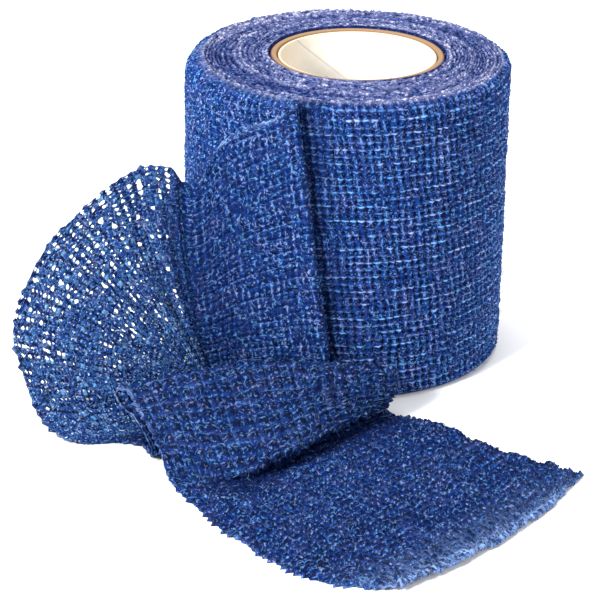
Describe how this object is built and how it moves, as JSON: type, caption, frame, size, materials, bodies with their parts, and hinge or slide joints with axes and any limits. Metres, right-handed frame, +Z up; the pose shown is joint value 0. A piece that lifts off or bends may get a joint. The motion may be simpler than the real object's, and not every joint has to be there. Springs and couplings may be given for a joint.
{
  "type": "cohesive bandage roll",
  "caption": "Roll of stretchy self-clinging crepe tape on a lined cardboard core, on end, its loose end folded back, fanned into a sheer lobe, pleated and laid flat on the table.",
  "frame": {"origin": "on the table, under the middle of the whole part's bounding box", "axes": "+Z up along the roll's axis, -Y towards the cut end of the loose tail, +X to the viewer's right"},
  "size_m": [0.0904, 0.1168, 0.0513],
  "materials": {
    "crepe_tape": "matte crepe",
    "cardboard": "matte",
    "white_paper": "satin"
  },
  "bodies": {
    "root": {"wound_roll": "crepe_tape", "loose_end": "crepe_tape", "core_tube": "cardboard", "core_liner": "white_paper"}
  },
  "joints": []
}
